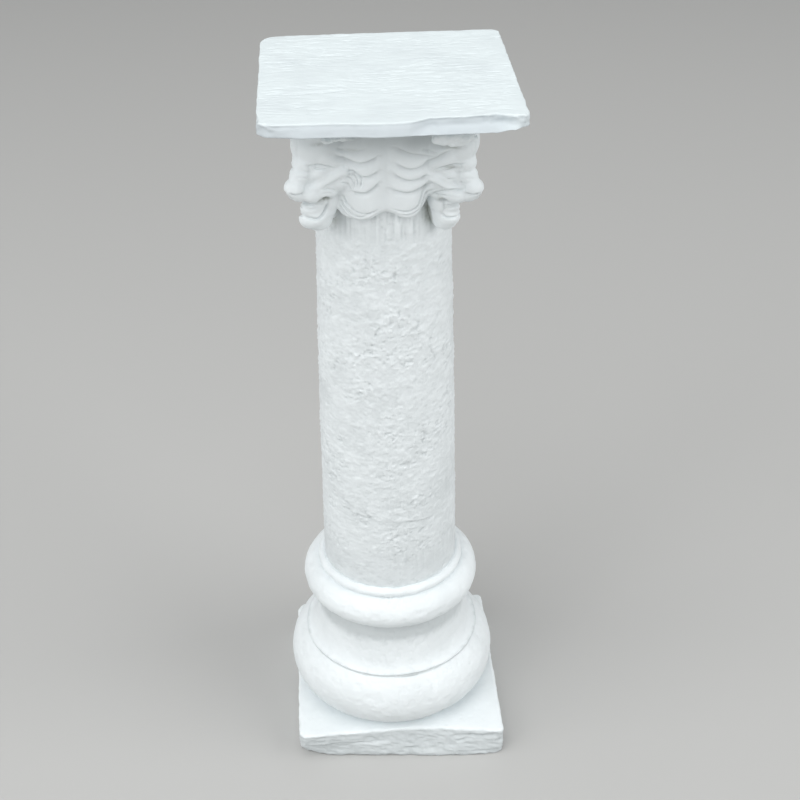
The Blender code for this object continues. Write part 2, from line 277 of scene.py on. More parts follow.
def outlineAt(look, flat, depth):
    # moves the points of the plain rectangle's rim to where the side really is at a depth
    half = look["half"]
    share = depth / look["height"]
    place = flat.copy()
    outward = np.zeros_like(flat)
    for (sx, sy), radius in look["corners"].items():
        dx = np.clip((sx * flat[:, 0] - (half[0] - radius)) / radius, 0, 1)
        dy = np.clip((sy * flat[:, 1] - (half[1] - radius)) / radius, 0, 1)
        bent = (dx > 0) & (dy > 0)
        place[bent, 0] = (sx * (half[0] - radius + radius * dx * np.sqrt(1 - dy ** 2 / 2)))[bent]
        place[bent, 1] = (sy * (half[1] - radius + radius * dy * np.sqrt(1 - dx ** 2 / 2)))[bent]
        inCorner = (sx * flat[:, 0] >= 0) & (sy * flat[:, 1] >= 0)
        outward[inCorner, 0] = (sx * np.clip(sx * place[:, 0] - half[0] + radius, 0, None))[inCorner]
        outward[inCorner, 1] = (sy * np.clip(sy * place[:, 1] - half[1] + radius, 0, None))[inCorner]
    length = np.maximum(np.linalg.norm(outward, axis=1), 1e-9)
    outward /= length[:, None]

    # the front is drawn from its own top and foot lines, and the sides follow near it
    world = place + look["middle"]
    topLine = np.interp(world[:, 0], *np.array(look["frontTop"]).T)
    footLine = np.interp(world[:, 0], *np.array(look["frontFoot"]).T)
    low = look["middle"][1] - half[1]
    turned = look["frontShape"](world[:, 0], share)
    shift = topLine + (footLine - topLine) * turned - low
    near = np.clip(1 - (world[:, 1] - low) / look["frontReach"], 0, 1) ** 2
    place[:, 1] += shift * near

    # rounded and worn edges, an uneven side, and broken flakes
    spot = np.column_stack([place, np.full(len(place), -depth)])
    topRound = look["topRound"] * (1 + 0.6 * layered(spot, 0.018, look["seed"]))
    footRound = look["footRound"] * (1 + 0.5 * layered(spot, 0.021, look["seed"] + 1))
    inward = roundedEdge(depth, topRound) + roundedEdge(look["height"] - depth, footRound)
    inward += look["unevenness"] * (0.5 + 0.5 * layered(spot, look["unevenSize"], look["seed"] + 2))
    inward += look["sideRelief"](spot, share, world)
    return place - outward * np.clip(inward, 0, None)[:, None]


def roundedEdge(depth, radius):
    inside = np.clip(radius - depth, 0, None)
    return radius - np.sqrt(np.clip(radius ** 2 - inside ** 2, 0, None))


def blockPiece(name, look, material):
    half = look["half"]
    across = round(2 * half[0] / look["stepAcross"])
    along = round(2 * half[1] / look["stepAlong"])
    sideX = np.linspace(-half[0], half[0], across + 1)
    sideY = np.linspace(-half[1], half[1], along + 1)
    gridX, gridY = np.meshgrid(sideX, sideY, indexing="ij")
    index = np.arange(gridX.size).reshape(gridX.shape)
    rim = np.concatenate([index[:-1, 0], index[-1, :-1], index[:0:-1, -1], index[0, :0:-1]])
    flat = np.stack([gridX.ravel(), gridY.ravel()], 1)
    rimFlat = flat[rim]

    # the rim's shift fades out towards the middle of the top
    shift = np.zeros((across + 1, along + 1, 2))
    shift.reshape(-1, 2)[rim] = outlineAt(look, rimFlat, 0.0) - rimFlat

    def nearness(gap):
        return (np.clip(1 - gap / look["topReach"], 0, 1) ** 2)[..., None]

    nearLeft, nearRight = nearness(gridX + half[0]), nearness(half[0] - gridX)
    nearFront, nearBack = nearness(gridY + half[1]), nearness(half[1] - gridY)
    left, right = shift[:1, :], shift[-1:, :]
    front, back = shift[:, :1], shift[:, -1:]
    spread = nearLeft * left + nearRight * right + nearFront * front + nearBack * back
    spread -= nearLeft * nearFront * shift[0, 0] + nearLeft * nearBack * shift[0, -1]
    spread -= nearRight * nearFront * shift[-1, 0] + nearRight * nearBack * shift[-1, -1]
    top = flat + spread.reshape(-1, 2)
    sunk = look["topRelief"](top + look["middle"])
    points = [np.column_stack([top + look["middle"], look["top"] - sunk])]

    depths = look["depths"]
    for depth in depths:
        ring = outlineAt(look, rimFlat, depth) + look["middle"]
        fade = (1 - depth / look["height"]) ** 2
        points.append(np.column_stack([ring, look["top"] - depth - sunk[rim] * fade]))
    points[-1][:, 2] = look["top"] - look["height"]
    inner = points[-1].copy()
    centre = np.array([*look["middle"], 0])
    inner[:, :2] = centre[:2] + (inner[:, :2] - centre[:2]) * look["innerShare"]
    points.append(inner)
    points = np.concatenate(points)

    corners = (index[:-1, :-1], index[1:, :-1], index[1:, 1:], index[:-1, 1:])
    faces = np.stack([corner.ravel() for corner in corners], 1).tolist()
    previous = rim
    start = len(flat)
    for _ in range(len(depths) + 1):
        ring = start + np.arange(len(rim))
        faces += np.stack([previous, ring, np.roll(ring, -1), np.roll(previous, -1)], 1).tolist()
        previous = ring
        start += len(rim)
    faces.append(previous[::-1].tolist())
    made = pieceFrom(name, points, faces, material)
    made.data.polygons[-1].use_smooth = False
    storeShade(made.data, look["shadeAt"](points))
    return made


def slabFrontShape(x, share):
    # a straight lean on the left, a hollow break on the right
    broken = smoothStep(x, 0.012, 0.040)
    return share + broken * (share ** 6 - share)


def slabSide(spot, share, world):
    grit = 0.0004 * layered(spot, 0.006, 31)
    streak = 0.0005 * layered(spot * (0.25, 0.25, 1.0), 0.0035, 32)
    front = smoothStep(-world[:, 1], 0.09, 0.12)
    flake = np.abs(layered(spot * (1.0, 0.6, 1.6), 0.013, 33, 2))
    rough = smoothStep(world[:, 0], 0.085, 0.115) + 0.35 * smoothStep(world[:, 0], 0.01, 0.05)
    chipped = hump(world[:, 0], -0.128, 0.012) * (1 - share)
    underLip = 0.0011 * hump(share, 0.20, 0.12) * (1 - 0.7 * rough)
    chips = rough * 0.0045 * flake + 0.004 * chipped * flake * 2
    return grit + streak + front * (underLip + chips)


def slabTop(place):
    # trowel streaks along X, short and uneven, with thin edges and a few dabs between them
    spot = np.column_stack([place, np.zeros(len(place))])
    drift = np.column_stack([np.zeros(len(spot)), 0.005 * layered(spot, 0.06, 40), spot[:, 2]])
    wavy = spot + drift
    broad = 0.0005 * (0.5 + 0.5 * layered(spot, 0.07, 41))
    streaks = layered(wavy * (0.26, 1.0, 1.0), 0.0062, 42, 3)
    ridge = 0.00022 * smoothStep(streaks, -0.12, 0.16) + 0.00020 * smoothStep(streaks, -0.5, 0.5)
    dabs = 0.0003 * smoothStep(layered(wavy * (0.42, 1.0, 1.0), 0.0080, 44, 3), 0.10, 0.22)
    nicks = 0.0005 * smoothStep(layered(wavy * (0.30, 1.0, 1.0), 0.0034, 45, 2), 0.34, 0.5)
    fine = 0.00014 * layered(wavy * (0.22, 1.0, 1.0), 0.0019, 43, 2)
    lively = 0.35 + 0.65 * smoothStep(layered(spot * (0.5, 1.0, 1.0), 0.045, 46), -0.3, 0.2)
    lively *= 0.3 + 0.7 * smoothStep(place[:, 1], -0.128, -0.095)
    return broad + fine + lively * (ridge + dabs + nicks)


def slabPaintedShade(points):
    # painted shade: the front face is painted greyer, the broken flakes on the right a little less
    front = smoothStep(-points[:, 1], 0.105, 0.116)
    below = smoothStep(slabHigh.z - points[:, 2], 0.0014, 0.0026)
    return front * below * (1 - 0.35 * smoothStep(points[:, 0], 0.095, 0.125))


slabLook = {
    "middle": np.array([(slabLow.x + slabHigh.x) / 2 - 0.001, (slabLow.y + slabHigh.y) / 2 + 0.001]),
    "half": np.array([(slabHigh.x - slabLow.x) / 2 + 0.001, (slabHigh.y - slabLow.y) / 2 + 0.001]),
    "top": slabHigh.z,
    "height": slabHigh.z - slabLow.z,
    "stepAcross": 0.0020,
    "stepAlong": 0.00085,
    "depths": (0.0003, 0.0008, 0.0015, 0.0025, 0.0037, 0.005, 0.0064, 0.0078, 0.0092,
               0.0106, 0.0118, 0.0126, 0.0132, 0.0135),
    "corners": {(-1, -1): 0.009, (1, -1): 0.009, (1, 1): 0.010, (-1, 1): 0.024},
    "frontTop": ((-0.134, -0.128), (-0.122, -0.1325), (-0.094, -0.1325), (-0.058, -0.1335),
        (-0.02, -0.1365), (0.003, -0.1375), (0.02, -0.1355), (0.04, -0.1275), (0.075, -0.127),
        (0.11, -0.1235), (0.126, -0.129), (0.142, -0.131)),
    "frontFoot": ((-0.134, -0.1265), (-0.126, -0.1335), (-0.09, -0.1405), (-0.058, -0.1405),
        (-0.036, -0.1415), (-0.015, -0.1447), (0.005, -0.1447), (0.038, -0.1425), (0.102, -0.144),
        (0.125, -0.1385), (0.142, -0.127)),
    "frontReach": 0.080,
    "topReach": 0.070,
    "topRound": 0.0014,
    "footRound": 0.0016,
    "unevenness": 0.0010,
    "unevenSize": 0.022,
    "seed": 5,
    "innerShare": 0.97,               # a smaller ring that keeps the underside flat
    "frontShape": slabFrontShape,
    "sideRelief": slabSide,
    "topRelief": slabTop,
    "shadeAt": slabPaintedShade,
}
topSlab = blockPiece("topSlab", slabLook, slabMaterial)
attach(topSlab, "root")
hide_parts("top_slab")
print("top slab laid")


def plinthFrontShape(x, share):
    # on the left the upper part overhangs a ledge, and the part below it is worn back
    ledge = smoothStep(share, 0.40, 0.50)
    onLeft = 1 - smoothStep(x, -0.040, -0.005)
    return share + onLeft * (ledge * 0.9 + 0.1 * share - share)


def plinthSide(spot, share, world):
    grit = 0.0007 * layered(spot, 0.0055, 51, 2)
    beds = 0.0007 * layered(spot * (0.18, 0.18, 1.0), 0.0055, 52)
    front = smoothStep(-world[:, 1], 0.09, 0.11)
    flake = np.abs(layered(spot * (0.9, 0.6, 1.9), 0.012, 53, 3))
    crackHeight = 0.020 + 0.002 * layered(spot * (1.0, 0.0, 0.0), 0.03, 54)
    crack = hump(spot[:, 2], -crackHeight, 0.0011) * (1 - smoothStep(world[:, 0], -0.035, -0.010))
    gouge = hump(world[:, 0], 0.105, 0.022) * hump(spot[:, 2], -0.011, 0.0022)
    lowEdge = smoothStep(share, 0.86, 1.0) * (0.5 + 0.5 * layered(spot, 0.012, 55)) * 0.003
    return grit + beds + lowEdge + front * (0.0032 * flake + 0.0022 * crack + 0.0026 * gouge)


def plinthTopRelief(place):
    spot = np.column_stack([place, np.zeros(len(place))])
    broad = 0.0007 * (0.5 + 0.5 * layered(spot, 0.06, 61))
    patches = 0.0003 * smoothStep(layered(spot, 0.011, 62), 0.1, 0.3)
    pits = 0.0008 * smoothStep(layered(spot, 0.004, 63), 0.45, 0.6)
    pits *= smoothStep(layered(spot, 0.05, 64), 0.05, 0.3)
    return broad + patches + pits


def plinthPaintedShade(points):
    # painted shade: the broken front is painted greyer than the rest
    front = smoothStep(-points[:, 1], 0.095, 0.110)
    return front * smoothStep(column["plinthTop"] - points[:, 2], 0.0012, 0.0045)


plinthLook = {
    "middle": np.array([0.0015, 0.002]),
    "half": np.array([0.1385, 0.141]),
    "top": column["plinthTop"],
    "height": column["plinthTop"],
    "stepAcross": 0.0019,
    "stepAlong": 0.0019,
    "depths": (0.0005, 0.0012, 0.0022, 0.0034, *np.arange(0.0048, 0.0425, 0.0014), 0.0432,
               0.0443, 0.0451),
    "corners": {(-1, -1): 0.010, (1, -1): 0.007, (1, 1): 0.008, (-1, 1): 0.016},
    "frontTop": ((-0.137, -0.124), (-0.13, -0.128), (-0.054, -0.125), (0.000, -0.1225),
        (0.027, -0.122), (0.086, -0.129), (0.128, -0.136), (0.14, -0.136)),
    "frontFoot": ((-0.137, -0.107), (-0.121, -0.115), (-0.101, -0.122), (-0.006, -0.131),
        (0.077, -0.1375), (0.124, -0.137), (0.14, -0.133)),
    "frontReach": 0.090,
    "topReach": 0.060,
    "topRound": 0.0030,
    "footRound": 0.0025,
    "unevenness": 0.0016,
    "unevenSize": 0.030,
    "seed": 9,
    "innerShare": 0.97,               # a smaller ring that keeps the underside flat
    "frontShape": plinthFrontShape,
    "sideRelief": plinthSide,
    "topRelief": plinthTopRelief,
    "shadeAt": plinthPaintedShade,
}
plinth = blockPiece("plinth", plinthLook, castingMaterial)
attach(plinth, "root")
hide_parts("column")
print("plinth cast")


# Round parts: rings about the column's axis, with more of their points on the front

frontBunching = 0.52


def roundPiece(name, look, profile, relief, shadeAt):
    profile = np.array(profile)
    steps = np.linalg.norm(np.diff(profile, axis=0), axis=1)
    travelled = np.concatenate([[0], np.cumsum(steps)])
    rows = round(travelled[-1] / look["step"]) + 1
    even = np.linspace(0, travelled[-1], rows)
    radius = np.interp(even, travelled, profile[:, 0])
    height = np.interp(even, travelled, profile[:, 1])
    rise, run = np.gradient(height), np.gradient(radius)
    length = np.hypot(rise, run)
    share = np.arange(look["columns"]) / look["columns"]
    turn = -pi / 2 + 2 * pi * share - frontBunching * np.sin(2 * pi * share)
    rowTurn = np.tile(turn, rows)
    rowRadius, rowHeight = np.repeat(radius, len(turn)), np.repeat(height, len(turn))
    out, up = np.repeat(rise / length, len(turn)), np.repeat(-run / length, len(turn))
    facing = np.column_stack([out * np.cos(rowTurn), out * np.sin(rowTurn), up])
    axis = column["axis"]
    points = np.column_stack([
        axis[0] + rowRadius * np.cos(rowTurn),
        axis[1] + rowRadius * np.sin(rowTurn),
        rowHeight,
    ])
    fromFront = np.degrees(np.arctan2(points[:, 0] - axis[0], axis[1] - points[:, 1]))
    sunk = relief(points, fromFront)
    points -= facing * sunk[:, None]
    index = np.arange(rows * len(turn)).reshape(rows, len(turn))
    after = np.roll(index, -1, axis=1)
    corners = (index[:-1], after[:-1], after[1:], index[1:])
    faces = np.stack([corner.ravel() for corner in corners], 1).tolist()
    faces.append(index[0][::-1].tolist())
    faces.append(index[-1].tolist())
    made = pieceFrom(name, points, faces, castingMaterial)
    made.data.polygons[-1].use_smooth = False
    made.data.polygons[-2].use_smooth = False
    # painted shade: greyer in the relief's hollows, plus what shadeAt adds
    storeShade(made.data, sunk / look["deepest"] + shadeAt(points))
    storeShade(made.data, mossAndShadeAt(points), "mossAndShade")
    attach(made, "root")
    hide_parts("column")
    return made


def ovalArc(centreRadius, centreHeight, across, up, start, end, steps=48):
    angles = np.radians(np.linspace(start, end, steps))
    return [(centreRadius + across * cos(a), centreHeight + up * sin(a)) for a in angles]


mouldings = {
    "lowerRadius": 0.1392,
    "lowerBulge": 0.040,
    "lowerAngles": (-78, 66),
    "rimRadius": 0.1182,
    "rimHeight": 0.004,
    "hollow": 0.0205,
    "upperRadius": 0.1161,
    "collarRadius": 0.0963,
    "step": 0.00155,
    "columns": 352,
    "deepest": 0.0022,
}


def mouldingsProfile():
    look = mouldings
    foot, lowerTop = column["plinthTop"], column["lowerTorusTop"]
    first, last = look["lowerAngles"]
    up = (lowerTop - foot) / (sin(radians(last)) - sin(radians(first)))
    centre = foot - up * sin(radians(first))
    lowerCentre = look["lowerRadius"] - look["lowerBulge"]
    torus = ovalArc(lowerCentre, centre, look["lowerBulge"], up, first, last)
    points = [(torus[0][0] - 0.004, foot - 0.006), *torus]
    rim, rimTop = look["rimRadius"], lowerTop + look["rimHeight"]
    points += [(rim - 0.0016, lowerTop - 0.0010), (rim - 0.0018, lowerTop)]
    points += [(rim - 0.0012, lowerTop + 0.0014), (rim - 0.0004, lowerTop + 0.0028)]
    points.append((rim - 0.0006, rimTop - 0.0002))
    scotiaTop, upperTop = column["scotiaTop"], column["upperTorusTop"]
    edge = rim - 0.3 * look["rimHeight"]
    points += ovalArc(edge, scotiaTop, -look["hollow"], rimTop - scotiaTop, 90, 0)
    half = (upperTop - scotiaTop) / 2
    points += ovalArc(look["upperRadius"] - half, scotiaTop + half, half, half, -82, 84)
    shaftRadius, shaftFoot = column["shaftBottomRadius"], column["shaftBottom"]
    collarHalf = (shaftFoot - upperTop) * 0.55
    across = look["collarRadius"] - shaftRadius
    points += ovalArc(shaftRadius, shaftFoot - collarHalf, across, collarHalf, -55, 82)
    points.append((shaftRadius - 0.006, shaftFoot - 0.002))
    return points


def mouldingsRelief(points, fromFront):
    broad = 0.0010 * (0.5 + 0.5 * layered(points, 0.035, 71))
    bands = 0.0004 * layered(points * (0.2, 0.2, 1.0), 0.006, 72)
    patches = 0.00055 * smoothStep(layered(points, 0.009, 73), 0.05, 0.22)
    grain = 0.00024 * layered(points, 0.0032, 74, 2)
    height = points[:, 2]
    onLower = 1 - smoothStep(height, 0.125, 0.132)
    onUpper = smoothStep(height, 0.205, 0.212)
    places = 0.35 + smoothStep(layered(points, 0.035, 75), -0.1, 0.35)
    flakes = smoothStep(layered(points * (1, 1, 1.5), 0.0055, 76), 0.28, 0.42)
    scars = hump(fromFront, 44, 13) * hump(height, 0.115, 0.022)
    scars += 0.8 * hump(fromFront, 32, 8) * hump(height, 0.226, 0.010)
    chips = (onLower + onUpper) * (0.00035 * places + 0.0007 * scars) * flakes
    lumps = hump(fromFront, -4, 13) * hump(height, 0.2495, 0.0032)
    lumps *= smoothStep(layered(points, 0.0045, 77), -0.1, 0.3)
    return broad + bands + patches + grain + chips - 0.0016 * lumps


def hollowPaintedShade(points):
    # painted shade: greyer paint under the upper torus and on the rim's face above the lower torus;
    # elsewhere it is lifted so the relief's hollows darken less
    out = aroundAxis(points)[1]
    under = 1.75 * smoothStep(points[:, 2], 0.162, 0.192) * (1 - smoothStep(out, 0.104, 0.112))
    under *= 1 - smoothStep(points[:, 2], 0.206, 0.214)
    rim = hump(points[:, 2], column["lowerTorusTop"] + 0.0016, 0.0034) * smoothStep(out, 0.112, 0.116)
    return under + 0.9 * rim - 0.52


baseMouldings = roundPiece(
    "baseMouldings", mouldings, mouldingsProfile(), mouldingsRelief, hollowPaintedShade
)
print("base mouldings turned")


shaftLook = {
    "columns": 252,
    "step": 0.00146,
    "deepest": 0.0024,
    "unevenness": 0.0008,
    "patch": 0.00034,
    "pit": 0.00120,
    "nib": 0.00090,
    "grain": 0.00036,
    "combFoot": 0.738,                # comb marks run from here up to the mane
    "crackTurn": (-37, 36),
    "crackHeight": (0.372, 0.357),
}


def shaftProfile():
    foot = column["shaftBottom"]
    length = column["capitalBottom"] + (column["capitalTop"] - column["capitalBottom"]) / 3 - foot
    lost = column["shaftBottomRadius"] - column["shaftTopRadius"]
    points = [(column["shaftBottomRadius"], foot - 0.008)]
    for share in np.linspace(0, 1, 60):
        shrink = lost * share ** column["shaftTaperPower"]
        points.append((column["shaftBottomRadius"] - shrink, foot + length * share))
    return points


def shaftRelief(points, fromFront):
    look = shaftLook
    height = points[:, 2]
    flatter = points * (1.0, 1.0, 1.45)
    broad = look["unevenness"] * (0.5 + 0.5 * layered(points, 0.055, 81))
    worked = 0.55 + 0.45 * smoothStep(height, 0.285, 0.350)
    worked *= 1 - 0.55 * smoothStep(height, 0.735, 0.765)
    patchy = layered(flatter, 0.0095, 82, 3)
    patches = look["patch"] * (smoothStep(patchy, -0.02, 0.10) + smoothStep(patchy, -0.34, -0.26))
    cluster = 0.25 + 0.75 * smoothStep(layered(flatter, 0.038, 83, 2), -0.15, 0.30)
    holes = layered(flatter, 0.0046, 84, 2)
    pits = look["pit"] * smoothStep(holes, 0.24, 0.48) * cluster
    nibs = look["nib"] * smoothStep(layered(flatter, 0.0042, 85, 2), 0.28, 0.48) * cluster
    grain = look["grain"] * layered(flatter, 0.0030, 86, 2)

    # a broken crack, a slanting groove, and comb marks under the mane
    share = np.interp(fromFront, look["crackTurn"], (0, 1))
    line = look["crackHeight"][0] + np.diff(look["crackHeight"])[0] * share
    line = line + 0.0022 * layered(points * (1, 1, 0.2), 0.016, 87)
    gaping = smoothStep(layered(points, 0.020, 88), -0.25, 0.1)
    inTurn = smoothStep(fromFront, -40, -33) * (1 - smoothStep(fromFront, 32, 39))
    crack = 0.0013 * hump(height, line, 0.0012) * gaping * inTurn
    crack += 0.0004 * inTurn * smoothStep(-(height - line), -0.001, 0.001) * hump(height, line, 0.014)
    slantTurn = np.interp(height, (0.575, 0.587, 0.610), (31, 43, 35))
    slant = hump(fromFront, slantTurn, 1.0) * smoothStep(height, 0.570, 0.578)
    slant *= 1 - smoothStep(height, 0.604, 0.612)
    comb = layered(points * (1, 1, 0.07), 0.0023, 89, 1)
    combed = smoothStep(height, look["combFoot"] + 0.012 * layered(points, 0.02, 90), 0.762)
    combed *= 0.45 + 0.55 * np.clip(hump(fromFront, 15, 20) + hump(fromFront, -38, 9), 0, 1)
    low = hump(height, 0.385, 0.022) + hump(height, 0.300, 0.020)
    combed = combed + 0.35 * low * smoothStep(fromFront, -14, 2)
    ribs = 0.0014 * combed * (0.5 + 0.5 * np.clip(comb * 2.6, -1, 1))
    rough = worked * (patches + pits - nibs + grain * 1.5)
    return 0.0006 + broad + rough + crack + 0.0011 * slant + ribs


def shaftShade(points):
    # most of the coat is even; the foot is greyer
    return 0.35 * (1 - smoothStep(points[:, 2], 0.285, 0.350)) - 0.42


shaft = roundPiece("shaft", shaftLook, shaftProfile(), shaftRelief, shaftShade)
print("shaft turned and worked")


# The capital is built from rounded forms, joined under one skin, then carved

capitalLook = {
    "headHeight": 0.120,
    "eyesBelowTop": 0.51,             # share of the head's height
    "bellFoot": 0.083,
    "bellTop": 0.098,
    "voxel": 0.00118,
    "smoothing": 12,
    "facesKept": 0.62,
    "wander": 0.0008,                 # how far the carved lines stray on each head
    "deepest": 0.0058,
    "sharpAngle": 70,                 # degrees, above which an edge isn't smoothed
}

# (centre, radii, pitch), in shares of the head's height: out, aside, above the eyes
headMiddle = {
    "skull": ((0.075, 0.0, 0.19), (0.325, 0.29, 0.36), 0.0),
    "hairUnderSlab": ((0.14, 0.0, 0.50), (0.34, 0.27, 0.34), 0.0),
    "forehead": ((0.225, 0.0, 0.24), (0.24, 0.20, 0.26), 0.0),
    "browMiddle": ((0.345, 0.0, 0.09), (0.135, 0.13, 0.12), 0.0),
    "noseBridge": ((0.31, 0.0, 0.01), (0.25, 0.110, 0.09), 0.40),
    "noseRoot": ((0.405, 0.0, -0.005), (0.13, 0.105, 0.09), 0.0),
    "noseTip": ((0.508, 0.0, -0.102), (0.090, 0.098, 0.086), 0.2),
    "muzzle": ((0.38, 0.0, -0.150), (0.18, 0.12, 0.102), 0.1),
    "throat": ((0.05, 0.0, -0.36), (0.12, 0.08, 0.20), 0.0),
}
jawMiddle = {
    "lowerJaw": ((0.21, 0.0, -0.490), (0.15, 0.098, 0.125), 0.0),
    "chin": ((0.31, 0.0, -0.455), (0.130, 0.112, 0.105), 0.0),
    "gum": ((0.285, 0.0, -0.350), (0.145, 0.096, 0.080), 0.0),
}
headPairs = {
    "lip": ((0.262, 0.070, -0.215), (0.160, 0.085, 0.092), -0.15),
    "cheek": ((0.10, 0.155, -0.08), (0.16, 0.12, 0.13), 0.0),
    "cheekBone": ((0.23, 0.098, 0.000), (0.17, 0.108, 0.12), 0.0),
    "lipFront": ((0.35, 0.085, -0.180), (0.13, 0.075, 0.085), 0.0),
    "lipSide": ((0.22, 0.125, -0.155), (0.16, 0.085, 0.110), 0.0),
    "mouthSide": ((0.16, 0.088, -0.29), (0.12, 0.062, 0.13), 0.0),
    "jawSide": ((0.18, 0.050, -0.40), (0.14, 0.070, 0.12), 0.0),
    "eye": ((0.290, 0.138, 0.055), (0.055, 0.044, 0.035), 0.0),
}
# (start, end, start radius, end radius)
headRidges = {
    "brow": ((0.37, 0.05, 0.125), (0.20, 0.215, 0.100), 0.050, 0.048),
    "snarl": ((0.42, 0.070, -0.150), (0.12, 0.240, 0.015), 0.050, 0.072),
    "jaw": ((0.12, 0.082, -0.28), (0.27, 0.055, -0.46), 0.050, 0.054),
}

# the heads aren't quite alike: how far each is shifted out and up, and how far out its
# jaw reaches, as a share of the longest; from the back right one, counter-clockwise
headShifts = ((-0.030, -0.025, 0.70), (-0.020, -0.010, 0.85), (0.0, 0.0, 1.0), (-0.055, -0.078, 0.48))

# carved lines: points, half width above and below the line, depth, all in metres but
# for the points, which are shares of the head's height as above
headLines = {
    "browShadow": (((0.43, 0.08, 0.115), (0.39, 0.105, 0.102), (0.35, 0.135, 0.104),
        (0.3, 0.175, 0.096), (0.23, 0.225, 0.06)), 0.0009, 0.0017, 0.0024),
    "eyeSlit": (((0.38, 0.115, 0.082), (0.33, 0.15, 0.066), (0.28, 0.19, 0.056)),
        0.0007, 0.001, 0.0014),
    "eyeCorner": (((0.42, 0.095, 0.095), (0.41, 0.1, 0.07)), 0.0016, 0.0016, 0.0013),
    "noseSide": (((0.41, 0.105, 0.07), (0.42, 0.1, 0.01), (0.44, 0.085, -0.06),
        (0.48, 0.09, -0.11)), 0.002, 0.002, 0.0008),
    "nostril": (((0.59, 0.032, -0.125), (0.578, 0.05, -0.134), (0.545, 0.078, -0.14),
        (0.49, 0.092, -0.124)), 0.001, 0.002, 0.0027),
    "lipMiddle": (((0.58, 0.0, -0.13), (0.53, 0.0, -0.2), (0.46, 0.0, -0.26)),
        0.0012, 0.0012, 0.0012),
    "underSnarl": (((0.33, 0.19, -0.105), (0.28, 0.215, -0.092), (0.23, 0.25, -0.062),
        (0.19, 0.275, -0.03)), 0.0016, 0.0036, 0.0013),
    "overSnarl": (((0.42, 0.12, -0.065), (0.36, 0.15, -0.02), (0.29, 0.185, 0.02),
        (0.22, 0.225, 0.045)), 0.0036, 0.0014, 0.0006),
    "cornerFold": (((0.34, 0.18, -0.12), (0.26, 0.2, -0.14), (0.2, 0.2, -0.175)),
        0.0009, 0.0016, 0.0014),
    "cornerFoldInner": (((0.33, 0.155, -0.165), (0.29, 0.175, -0.162), (0.25, 0.185, -0.18)),
        0.0008, 0.0014, 0.001),
    "mouthCorner": (((0.295, 0.15, -0.212), (0.255, 0.14, -0.252)), 0.0026, 0.003, 0.0095),
    "mouthLine": (((0.48, 0.0, -0.262), (0.44, 0.06, -0.272), (0.37, 0.11, -0.28),
        (0.31, 0.14, -0.255), (0.27, 0.15, -0.225)), 0.0012, 0.0017, 0.003),
    "noseFold": (((0.51, 0.02, 0.000), (0.47, 0.055, 0.005), (0.42, 0.085, -0.01)),
        0.0009, 0.0014, 0.0006),
    "noseFoldUpper": (((0.47, 0.02, 0.05), (0.43, 0.055, 0.055), (0.39, 0.085, 0.04)),
        0.0009, 0.0014, 0.0006),
    "forehead": (((0.45, 0.0, 0.12), (0.44, 0.0, 0.22), (0.42, 0.0, 0.33)), 0.0022, 0.0022, 0.0008),
}
# the front right head snarls more: its lip is parted from the cheek by a long fold
snarlLines = {
    "lipFold": (((0.47, 0.085, -0.085), (0.385, 0.15, -0.105), (0.265, 0.19, -0.15),
        (0.165, 0.195, -0.205)), 0.001, 0.0026, 0.002),
    "wrinkleHigh": (((0.385, 0.135, -0.005), (0.335, 0.17, -0.015)), 0.001, 0.0012, 0.0011),
    "wrinkleMiddle": (((0.475, 0.085, -0.04), (0.42, 0.12, -0.055)), 0.001, 0.0014, 0.0009),
}
snarlJaw = {
    "lowerLip": (((0.56, 0.0, -0.425), (0.54, 0.03, -0.435), (0.48, 0.08, -0.435),
        (0.42, 0.11, -0.425), (0.36, 0.125, -0.395)), 0.0009, 0.0018, 0.0022),
    "tongueEdge": (((0.385, 0.13, -0.255), (0.44, 0.14, -0.285), (0.46, 0.12, -0.345),
        (0.42, 0.12, -0.38)), 0.001, 0.0016, 0.0018),
    "gumFold": (((0.5, 0.0, -0.34), (0.48, 0.05, -0.345), (0.45, 0.08, -0.34)),
        0.0009, 0.0014, 0.0008),
}
jawLines = {
    "lowerLip": (((0.42, 0.0, -0.4), (0.39, 0.06, -0.412), (0.35, 0.1, -0.425),
        (0.3, 0.118, -0.415), (0.265, 0.125, -0.385), (0.25, 0.13, -0.34), (0.24, 0.14, -0.29)),
        0.001, 0.0024, 0.0028),
    "gumFold": (((0.42, 0.0, -0.33), (0.37, 0.06, -0.338), (0.31, 0.09, -0.33)),
        0.0009, 0.0014, 0.0007),
}

